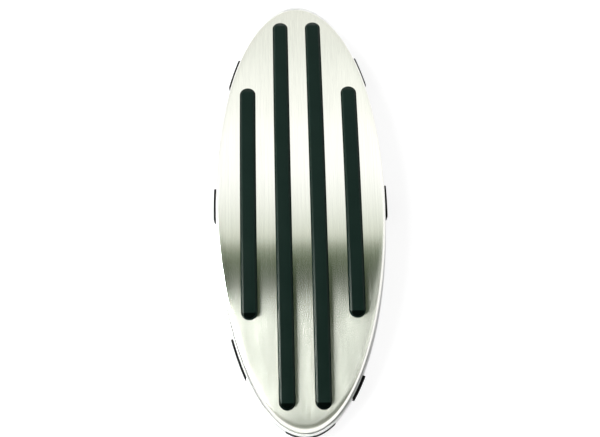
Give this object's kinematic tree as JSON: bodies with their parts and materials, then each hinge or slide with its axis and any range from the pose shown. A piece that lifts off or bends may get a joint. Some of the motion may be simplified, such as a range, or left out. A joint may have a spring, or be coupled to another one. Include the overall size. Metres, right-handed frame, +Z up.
{
  "type": "sewing machine foot pedal",
  "caption": "Low oval foot pedal with an arched brushed steel tread, raised rubber strips and a heel hinge; pressing the toe squeezes springs and turns a geared speed sensor.",
  "frame": {"origin": "on the floor below the middle of the tread's oval", "axes": "+Y towards the toe end, along the tread; +X to the right-hand side, where the cord socket is; +Z up"},
  "size_m": [0.1152, 0.2981, 0.0407],
  "materials": {
    "pan_plastic": "silver grey, fine grain",
    "frame_plastic": "silver grey, satin",
    "bumper_rubber": "black, matt",
    "foot_rubber": "dark grey, matt",
    "black_plastic": "black, fine grain",
    "zinc_steel": "zinc plated",
    "spring_steel": "oiled wire",
    "ballast_steel": "grey primer",
    "board_laminate": "green solder mask",
    "chip_plastic": "black",
    "capacitor_can": "sleeved can",
    "nylon": "natural, satin",
    "brushed_steel": "brushed lengthwise",
    "strip_rubber": "dark green black, satin"
  },
  "bodies": {
    "base": {"base_pan": "pan_plastic", "base_wall": "pan_plastic", "base_posts": "pan_plastic", "toe_left_bumper": "bumper_rubber", "toe_right_bumper": "bumper_rubber", "mid_left_bumper": "bumper_rubber", "mid_right_bumper": "bumper_rubber", "heel_left_bumper": "bumper_rubber", "heel_right_bumper": "bumper_rubber", "heel_bumper": "bumper_rubber", "toe_left_foot": "foot_rubber", "toe_right_foot": "foot_rubber", "mid_left_foot": "foot_rubber", "mid_right_foot": "foot_rubber", "heel_left_foot": "foot_rubber", "heel_right_foot": "foot_rubber", "left_hinge_block": "black_plastic", "right_hinge_block": "black_plastic", "block_screws": "zinc_steel", "hinge_pin": "zinc_steel", "pin_clips": "zinc_steel", "left_spring": "spring_steel", "right_spring": "spring_steel", "left_keeper": "black_plastic", "right_keeper": "black_plastic", "keeper_screws": "zinc_steel", "left_buffer": "foot_rubber", "right_buffer": "foot_rubber", "toe_ballast": "ballast_steel", "heel_ballast": "ballast_steel", "ballast_screws": "zinc_steel", "circuit_board": "board_laminate", "control_chip": "chip_plastic", "board_capacitor": "capacitor_can", "jack_socket": "black_plastic", "sensor_body": "black_plastic", "board_screws": "zinc_steel"},
    "tread": {"tread_frame": "frame_plastic", "tread_plate": "brushed_steel", "outer_left_strip": "strip_rubber", "inner_left_strip": "strip_rubber", "inner_right_strip": "strip_rubber", "outer_right_strip": "strip_rubber", "plate_nuts": "zinc_steel", "hinge_bracket": "zinc_steel", "bracket_screws": "zinc_steel", "hinge_bushes": "nylon", "toothed_sector": "nylon", "sector_screws": "zinc_steel"},
    "pinion": {"sensor_shaft": "zinc_steel", "drive_pinion": "nylon"}
  },
  "joints": [
    {"name": "tread_press", "type": "hinge", "parent": "base", "child": "tread", "pos_m": [0, -0.118, 0.0095], "axis": [-1, 0, 0], "range_deg": [0, 2.1], "stiffness_Nm_per_rad": 60, "springref_deg": -1.72, "deforming": ["left_spring", "right_spring"]},
    {"name": "pinion_spin", "type": "hinge", "parent": "base", "child": "pinion", "pos_m": [0, 0.03061, 0.017], "axis": [-1, 0, 0], "range_deg": [-64, 0]}
  ],
  "couplings": [
    {"joint": "pinion_spin", "follows": "tread_press", "ratio": -30}
  ]
}
